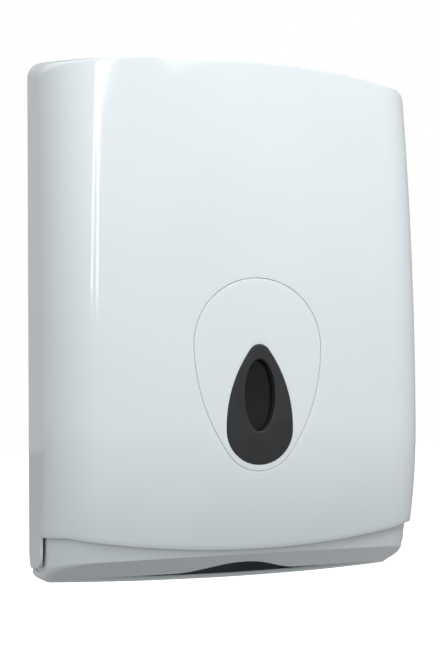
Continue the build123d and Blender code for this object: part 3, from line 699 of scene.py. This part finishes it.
    # bosses for the hinge and the pad under the lock pocket
    for side in (-1, 1):
        end = form["half"] - cover["wall"]
        start = end - cover["bossLength"]
        place = (0, cover["hingeY"], cover["hingeZ"])
        boss = tubeShell("x", cover["bossR"], cover["boreR"], start, end, place, cover["bossEnd"])
        if side < 0:
            bmesh.ops.scale(boss, verts=boss.verts, vec=(-1, 1, 1))
            bmesh.ops.reverse_faces(boss, faces=boss.faces)
        joinInto(skin, boss)
    padR, padTop = cover["pocketR"] + cover["wall"], cover["pocketFloor"] - cover["padSink"]
    joinInto(skin, tubeShell("z", padR, cover["barrelR"], cover["padLow"], padTop, (0, cover["lockY"], 0)))
    return makePiece("cover_shell", skin, "white_abs_gloss", "cover", "front_cover")


makeCover()
print("cover made")


panel = {
    "thickness": 2.4, "edge": 0.5, "dropEdge": 0.25, "recess": 1.2, "fit": 0.15, "opening": 5.0,
    "peg": 1.5, "pegStart": 1.5, "pegReach": 7.4, "pegEdge": 3.5, "pegSide": 4.0, "pegFoot": 22.0,
}


def addPeg(shape, x, z, start, end):
    peg = bmesh.new()
    radius = panel["peg"]
    bmesh.ops.create_cone(peg, cap_ends=True, segments=24, radius1=radius, radius2=radius,
                          depth=end - start)
    bmesh.ops.rotate(peg, verts=peg.verts, cent=(0, 0, 0), matrix=Matrix.Rotation(math.pi / 2, 3, "X"))
    bmesh.ops.translate(peg, verts=peg.verts, vec=(x, frontY(x, z) + (start + end) / 2, z))
    joinInto(shape, peg)


def makePanel():
    outer = edgeSteps(egg, 0.0, 0.0, panel["edge"], 5)
    inner = (drop, panel["fit"] + panel["dropEdge"], 0.0)
    profile = [(egg, 0.0, panel["thickness"])] + outer + between(outer[-1], inner, 14) + [inner]
    profile += edgeSteps(drop, panel["fit"], 0.0, panel["dropEdge"], 3, -1)[::-1][1:]
    profile += [(drop, panel["fit"], panel["recess"]), (oval, panel["opening"], panel["recess"])]
    rearInner, rearOuter = (oval, panel["opening"], panel["thickness"]), (egg, 0.0, panel["thickness"])
    profile += [rearInner] + between(rearInner, rearOuter, 10) + [rearOuter]
    shape = ringPiece(profile)
    side, foot = math.radians(panel["pegSide"]), math.radians(-panel["pegFoot"])
    top, low = egg["topR"] - panel["pegEdge"], egg["lowR"] - panel["pegEdge"]
    places = [(0, egg["topZ"] + top)]
    for sign in (-1, 1):
        places.append((sign * top * math.cos(side), egg["topZ"] - top * math.sin(side)))
        places.append((sign * low * math.cos(foot), egg["lowZ"] + low * math.sin(foot)))
    for x, z in places:
        addPeg(shape, x, z, panel["pegStart"], panel["pegReach"])
    return makePiece("panel_moulding", shape, "white_abs_gloss", "cover", "window_panel")


bezel = {
    "proud": 0.4, "edge": 0.8, "seat": 1.2, "ovalEdge": 1.0, "ovalBack": 3.0, "lensStep": 5.5,
    "lensFit": 0.2, "lensOverlap": 2.4, "lens": 1.6, "lensEdge": 0.3, "collar": 2.0,
    "pegEdge": 8.6, "pegDrop": 5.0, "pegLow": 1.5, "pegStart": 0.8, "pegReach": 5.4,
}


def makeBezel():
    outer = edgeSteps(drop, 0.0, -bezel["proud"], bezel["edge"], 6)
    mouth = edgeSteps(oval, 0.0, -bezel["proud"], bezel["ovalEdge"], 6, -1)[::-1]
    seat = bezel["lensOverlap"] + bezel["lensFit"]
    rear = bezel["lensStep"] + bezel["lens"]
    profile = [(drop, 0.0, bezel["seat"])] + outer + between(outer[-1], mouth[0], 8) + mouth
    profile += [(oval, 0.0, bezel["ovalBack"]), (oval, 0.0, bezel["lensStep"])]
    profile += [(oval, seat, bezel["lensStep"]), (oval, seat, rear)]
    profile += [(oval, seat + bezel["collar"], rear), (oval, seat + bezel["collar"], bezel["seat"])]
    profile += [(drop, 0.0, bezel["seat"])]
    shape = ringPiece(profile)
    side = drop["lowR"] - bezel["pegEdge"]
    for x, z in ((0, drop["lowZ"] - side + bezel["pegLow"]), (-side, drop["lowZ"] - bezel["pegDrop"]),
                 (side, drop["lowZ"] - bezel["pegDrop"])):
        addPeg(shape, x, z, bezel["pegStart"], bezel["pegReach"])
    return makePiece("bezel_moulding", shape, "dark_grey_abs", "cover", "teardrop_bezel")


def makeLens():
    front, rear = bezel["lensStep"], bezel["lensStep"] + bezel["lens"]
    inmost = 0.01 - oval["halfX"]
    rim = edgeSteps(oval, bezel["lensOverlap"], front, bezel["lensEdge"], 2)
    profile = [(oval, bezel["lensOverlap"], rear)] + rim + between(rim[-1], (oval, inmost, front), 6)
    profile += [(None, 0, front)]
    back = (oval, bezel["lensOverlap"], rear)
    behind = [(None, 0, rear)] + between((oval, inmost, rear), back, 6) + [back]
    shape = ringPiece(profile)
    joinInto(shape, ringPiece(behind))
    weld(shape, 0.004)
    return makePiece("lens_moulding", shape, "smoked_clear", "cover", "sight_lens")


makePanel()
makeBezel()
makeLens()
print("window made")


tray = {
    "inset": 3.9, "rear": -3.0, "wall": 2.5, "rimOver": 2.0,
    "floor": 2.0, "bevelRear": 61.0,
    "edgeHeight": 26.7, "edgeFall": 0.0002,     # the bevel's upper edge, lower towards the sides
    "soleOut": 1.6, "soleTop": 8.5, "soleBlend": 0.4, "soleFront": -54.0, "soleRun": 22.0,
    "frontEdge": 0.7, "sideEdge": 9.0, "footEdge": 2.0, "footY": -10.0, "footRun": 36.0, "rearEdge": 0.6,
    "frontRun": 0.95, "innerShare": 0.6, "leastEdge": 0.5, "firstGuess": 10.0, "soleClear": 1.5,
    "slotHalf": 121.1, "slotRear": 62.0, "slotRearR": 660.0, "slotFront": 75.0, "slotFrontR": 330.0,
    "hump": 17.2, "humpHalf": 48.0, "humpFlat": 2.0, "lip": 0.8, "bead": 3.2, "beadDeep": 2.5,
    "bend": 3.0, "lipEdge": 0.6, "lipCorner": 0.18, "beadFall": 0.2,
    "upper": 9, "lower": 10, "turn": 8, "across": 18, "inside": 9, "turnIn": 6, "up": 5, "rears": 30,
    "sides": 20, "corners": 18, "fronts": 88,
    "notchR": 9.0, "notchInner": 121.5, "notchOver": 2.0, "notchDeep": 5.0,
}


def bowed(depth, radius, x):
    return radius - depth - math.sqrt(radius ** 2 - x ** 2)


def slotFront(x):
    run = (abs(x) - tray["humpFlat"]) / (tray["humpHalf"] - tray["humpFlat"])
    share = 0.5 + 0.5 * math.cos(math.pi * min(max(run, 0.0), 1.0))
    return bowed(tray["slotFront"], tray["slotFrontR"], x) - tray["hump"] * share


def underside(x, y):
    # flat floor that rises into the bevel towards the front
    out = math.hypot(x, axisY - y) - axisY - tray["bevelRear"]
    front = barrel(tray["edgeHeight"], tray["inset"]) - axisY - tray["bevelRear"]
    slope = (tray["edgeHeight"] - tray["edgeFall"] * x * x - tray["floor"]) / front
    bend = tray["bend"]
    if out < -bend:
        return tray["floor"]
    if out < bend:
        return tray["floor"] + slope * (out + bend) ** 2 / (4 * bend)
    return tray["floor"] + slope * out


def trayEdge(station, y):
    # lower edge of the tray's wall: crisp at the front, soft round the corners, tighter at the feet
    zone, share = station
    side, front = tray["sideEdge"], tray["frontEdge"]
    if zone == 3:
        return tray["rearEdge"]
    if abs(zone) == 2:
        return tray["footEdge"] + (side - tray["footEdge"]) * smooth((tray["footY"] - y) / tray["footRun"])
    if abs(zone) == 1:
        return side + (front - side) * smooth(share * tray["frontRun"])
    return front


def wallAt(station, height, inward):
    if station[0] == 3:
        return station[1] * (form["half"] - tray["inset"] - inward), tray["rear"] - inward, (0.0, 1.0)
    return planPoint(station, height, tray["inset"] + inward, tray["rear"] - inward)


def lowerEdge(station, inward, lift):
    # tangent points and corner between the tray's wall and its underside, or the same inside
    height = tray["firstGuess"]
    for step in range(14):
        x, y, out = wallAt(station, height, inward)
        height = underside(x, y) + lift
    radius = max(trayEdge(station, y) - inward * tray["innerShare"], tray["leastEdge"])
    rise = height - underside(x - out[0], y - out[1]) - lift
    turn = math.pi / 2 - math.atan(rise)
    reach = radius * math.tan(turn / 2)
    flat = reach * math.cos(math.atan(rise))
    startX, startY, out = wallAt(station, height + reach, inward)
    endX, endY = x - out[0] * flat, y - out[1] * flat
    return (Vector((startX, startY, height + reach)), Vector((x, y, height)),
            Vector((endX, endY, underside(endX, endY) + lift)), turn)


def slotPoint(station):
    # the slot's outline, matched to the tray's: lip, ends and rear edge
    half = tray["slotHalf"]
    if station[0] == 3:
        x = station[1] * half
        return Vector((x, bowed(tray["slotRear"], tray["slotRearR"], x), 0))
    if station[0] == 0:
        return Vector((station[1] * half, slotFront(station[1] * half), 0))
    front, back = slotFront(half), bowed(tray["slotRear"], tray["slotRearR"], half)
    share = (1 - station[1]) / 2 if abs(station[0]) == 1 else 1 - station[1] / 2
    return Vector((math.copysign(half, station[0]), front + (back - front) * share, 0))


def traySection(station):
    # from the rim down the wall, along the underside to the slot, and back inside to the rim
    outer = lowerEdge(station, 0.0, 0.0)
    inner = lowerEdge(station, tray["wall"], tray["wall"])
    rim = form["seamSide"] + tray["rimOver"] if station[0] == 3 else seamAt(outer[0].x) + tray["rimOver"]
    points = []

    def wallPoint(height, inward):
        x, y, out = wallAt(station, height, inward)
        return Vector((x, y, height)), out

    def standOut(point, out):
        # the sole stands out a little below the ear
        if abs(station[0]) != 2:
            return point
        share = smooth((point.y - tray["soleFront"]) / tray["soleRun"])
        share *= smooth((tray["soleTop"] + tray["soleBlend"] - point.z) / (2 * tray["soleBlend"]))
        return point + Vector((out[0], out[1], 0)) * tray["soleOut"] * share

    split, upper, lower = max(outer[0].z, tray["soleTop"] + tray["soleClear"]), tray["upper"], tray["lower"]
    heights = [rim + (split - rim) * j / upper for j in range(upper + 1)]
    heights += [split + (outer[0].z - split) * j / lower for j in range(1, lower + 1)]
    for height in heights:
        point, out = wallPoint(height, 0.0)
        points.append(standOut(point, out))
    for point in roundEdge(*outer, tray["turn"]):
        points.append(standOut(point, out) if point.z < tray["soleTop"] else point)
    start = points[-1]
    slot = slotPoint(station)
    away = Vector((start.x - slot.x, start.y - slot.y, 0)).normalized()

    def onUnderside(place, lift=0.0):
        return Vector((place.x, place.y, underside(place.x, place.y) + lift))

    lipStart = slot + away * tray["lip"]
    for k in range(1, tray["across"] + 1):
        share = k / tray["across"]
        point = onUnderside(start.lerp(lipStart, share))
        point.z += (start.z - underside(start.x, start.y)) * (1 - share)
        points.append(point)
    for k in (1, 2, 3):
        turn = k * math.pi / 6
        place = slot + away * tray["lip"] * (1 - math.sin(turn))
        points.append(onUnderside(place, tray["lip"] * (1 - math.cos(turn))))
    thick = tray["bead"] if station[0] == 3 else tray["wall"]
    points.append(onUnderside(slot, thick - tray["lipEdge"]))
    points.append(onUnderside(slot + away * tray["lipCorner"], thick - tray["lipCorner"]))
    points.append(onUnderside(slot + away * tray["lipEdge"], thick))
    points.append(onUnderside(slot + away * tray["beadDeep"], thick))
    points.append(onUnderside(slot + away * (tray["beadDeep"] + tray["beadFall"]), tray["wall"]))
    first, last = points[-1], inner[2]
    for k in range(1, tray["inside"]):
        points.append(onUnderside(first.lerp(last, k / tray["inside"]), tray["wall"]))
    back = [inner[0]] + roundEdge(*inner, tray["turnIn"])
    points += back[::-1]
    for k in range(1, tray["up"] + 1):
        height = inner[0].z + (rim - inner[0].z) * k / tray["up"]
        points.append(wallPoint(height, tray["wall"])[0])
    return points + [points[0]]


def notchCutter(side):
    # notch round the hinge lug, open to the wall
    radius, deep, y, z = tray["notchR"], tray["notchDeep"], cover["hingeY"], cover["hingeZ"]
    outline = [Vector((0, deep, z - radius)), Vector((0, y, z - radius))]
    for k in range(1, 12):
        turn = k * math.pi / 12
        outline.append(Vector((0, y - radius * math.sin(turn), z - radius * math.cos(turn))))
    outline += [Vector((0, y, z + radius)), Vector((0, deep, z + radius)), Vector((0, deep, z - radius))]
    ends = (tray["notchInner"] * side, (form["half"] + tray["notchOver"]) * side)
    cutter = shapeGrid(len(outline), 2, lambda i, j: outline[i] + Vector((ends[j], 0, 0)))
    weld(cutter, 0.001)
    bmesh.ops.holes_fill(cutter, edges=[e for e in cutter.edges if len(e.link_faces) == 1], sides=0)
    bmesh.ops.recalc_face_normals(cutter, faces=cutter.faces)
    return cutter


def cutAway(shape, cutter):
    holders = []
    for part in (shape, cutter):
        mesh = bpy.data.meshes.new("cutting")
        part.to_mesh(mesh)
        part.free()
        holders.append(bpy.data.objects.new("cutting", mesh))
        bpy.context.scene.collection.objects.link(holders[-1])
    cut = holders[0].modifiers.new("cut", "BOOLEAN")
    cut.operation = "DIFFERENCE"
    cut.solver = "EXACT"
    cut.object = holders[1]
    evaluated = holders[0].evaluated_get(bpy.context.evaluated_depsgraph_get())
    finished = bpy.data.meshes.new_from_object(evaluated)
    result = bmesh.new()
    result.from_mesh(finished)
    for holder in holders:
        bpy.data.objects.remove(holder)
    bpy.data.meshes.remove(finished)
    return result


def makeTray():
    rears = tray["rears"]
    around = planStations(tray["sides"], tray["corners"], tray["fronts"])
    around += [(3, 1 - 2 * k / rears) for k in range(1, rears)]
    around.append(around[0])
    sections = [traySection(station) for station in around]
    shape = shapeGrid(len(around), len(sections[0]), lambda i, j: sections[i][j])
    weld(shape, 0.01)
    bmesh.ops.recalc_face_normals(shape, faces=shape.faces)
    for side in (-1, 1):
        shape = cutAway(shape, notchCutter(side))
    return makePiece("tray_moulding", shape, "white_abs_gloss", "wall_unit", "base_tray")


makeTray()
print("tray made")


stage = {
    "floorZ": -0.45, "floorSize": 5.0, "floorDark": (0.78, 0.78, 0.78), "floorLight": (0.80, 0.80, 0.80),
    "cloud": 3.0, "roughness": 0.8, "specular": 0.1, "floorLift": 0.7, "bounce": 0.29,
    "glossShare": 0.15, "room": (0.965, 0.985, 1.0, 1), "world": 0.53,
    "lean": (-0.19, -0.15, 0.11),     # the room is a little brighter in front, above and to the left
}
# aim, azimuth from the front towards the left, rise, distance, size, power and roll
lamps = {
    "keyLamp": ((0, -0.09, -0.02), -24, 1.52, 1.08, (1.3, 1.0), 23.0, 0),
    "stripOne": ((-0.12, -0.10, 0.0), 23.0, 0.81, 1.7, (0.07, 1.15), 2.6, -28),
    "stripTwo": ((-0.12, -0.10, 0.0), 17.0, 0.80, 1.7, (0.07, 1.10), 2.6, -16),
}


def addLamp(name, aim, azimuth, rise, distance, size, power, roll):
    # a soft rectangular lamp that faces its aim
    turn = math.radians(azimuth)
    place = Vector(aim) + Vector((-math.sin(turn), -math.cos(turn), 0)) * distance + Vector((0, 0, rise))
    data = bpy.data.lights.new(name, "AREA")
    data.shape = "RECTANGLE"
    data.size, data.size_y = size
    data.energy = power
    obj = bpy.data.objects.new(name, data)
    facing = (place - Vector(aim)).to_track_quat("Z", "Y").to_matrix()
    facing = facing @ Matrix.Rotation(math.radians(roll), 3, "Z")
    obj.matrix_world = Matrix.Translation(place) @ facing.to_4x4()
    bpy.context.scene.collection.objects.link(obj)


def seenDirectly(nodes, links):
    # how much a ray shows the white background: wholly from the camera or through the lens, partly
    # off a polished face, so that the walls seen at a low angle do not turn white
    path = nodes.new("ShaderNodeLightPath")
    value = path.outputs["Is Camera Ray"]
    for kind, share in (("Is Glossy Ray", stage["glossShare"]), ("Is Transmission Ray", 1.0)):
        adding = nodes.new("ShaderNodeMath")
        adding.operation = "MULTIPLY_ADD"
        links.new(path.outputs[kind], adding.inputs[0])
        adding.inputs[1].default_value = share
        links.new(value, adding.inputs[2])
        value = adding.outputs[0]
    return value


def makeWorld():
    # white behind the object, and a soft grey room that only lights it
    world = bpy.data.worlds.new("studio")
    bpy.context.scene.world = world
    world.use_nodes = True
    nodes, links = world.node_tree.nodes, world.node_tree.links
    room = nodes["Background"]
    room.inputs["Color"].default_value = stage["room"]
    where = nodes.new("ShaderNodeTexCoord")
    lean = nodes.new("ShaderNodeVectorMath")
    lean.operation = "DOT_PRODUCT"
    lean.inputs[1].default_value = stage["lean"]
    links.new(where.outputs["Generated"], lean.inputs[0])
    level = nodes.new("ShaderNodeMath")
    level.inputs[1].default_value = stage["world"]
    links.new(lean.outputs["Value"], level.inputs[0])
    links.new(level.outputs[0], room.inputs["Strength"])
    white = nodes.new("ShaderNodeBackground")
    white.inputs["Color"].default_value = (1, 1, 1, 1)
    mix = nodes.new("ShaderNodeMixShader")
    links.new(seenDirectly(nodes, links), mix.inputs["Fac"])
    links.new(room.outputs[0], mix.inputs[1])
    links.new(white.outputs[0], mix.inputs[2])
    links.new(mix.outputs[0], nodes["World Output"].inputs["Surface"])


def makeFloor():
    # pale floor that keeps the object's shadow; it looks white, and gives back less light than that
    shape = bmesh.new()
    bmesh.ops.create_grid(shape, x_segments=1, y_segments=1, size=stage["floorSize"])
    bmesh.ops.translate(shape, verts=shape.verts, vec=(0, 0, stage["floorZ"]))
    mesh = bpy.data.meshes.new("floor")
    shape.to_mesh(mesh)
    shape.free()
    material, nodes, links, shader, where = newFinish("paleFloor")
    cloud = addNoise(nodes, links, where, stage["cloud"], 2.0)
    seen = tint(nodes, links, cloud, stage["floorDark"], stage["floorLight"])
    direct = seenDirectly(nodes, links)
    albedo = nodes.new("ShaderNodeMix")
    albedo.data_type = "RGBA"
    albedo.inputs["A"].default_value = (stage["bounce"], stage["bounce"], stage["bounce"], 1)
    links.new(direct, albedo.inputs["Factor"])
    links.new(seen, albedo.inputs["B"])
    links.new(albedo.outputs["Result"], shader.inputs["Base Color"])
    shader.inputs["Roughness"].default_value = stage["roughness"]
    shader.inputs["Specular IOR Level"].default_value = stage["specular"]
    shader.inputs["Emission Color"].default_value = (1, 1, 1, 1)
    lift = nodes.new("ShaderNodeMath")
    lift.operation = "MULTIPLY"
    lift.inputs[1].default_value = stage["floorLift"]
    links.new(direct, lift.inputs[0])
    links.new(lift.outputs[0], shader.inputs["Emission Strength"])
    mesh.materials.append(material)
    floor = bpy.data.objects.new("floor", mesh)
    bpy.context.scene.collection.objects.link(floor)


for name, lamp in lamps.items():
    addLamp(name, *lamp)
makeWorld()
bpy.context.scene.view_settings.view_transform = "Standard"
makeFloor()
print("stage made")
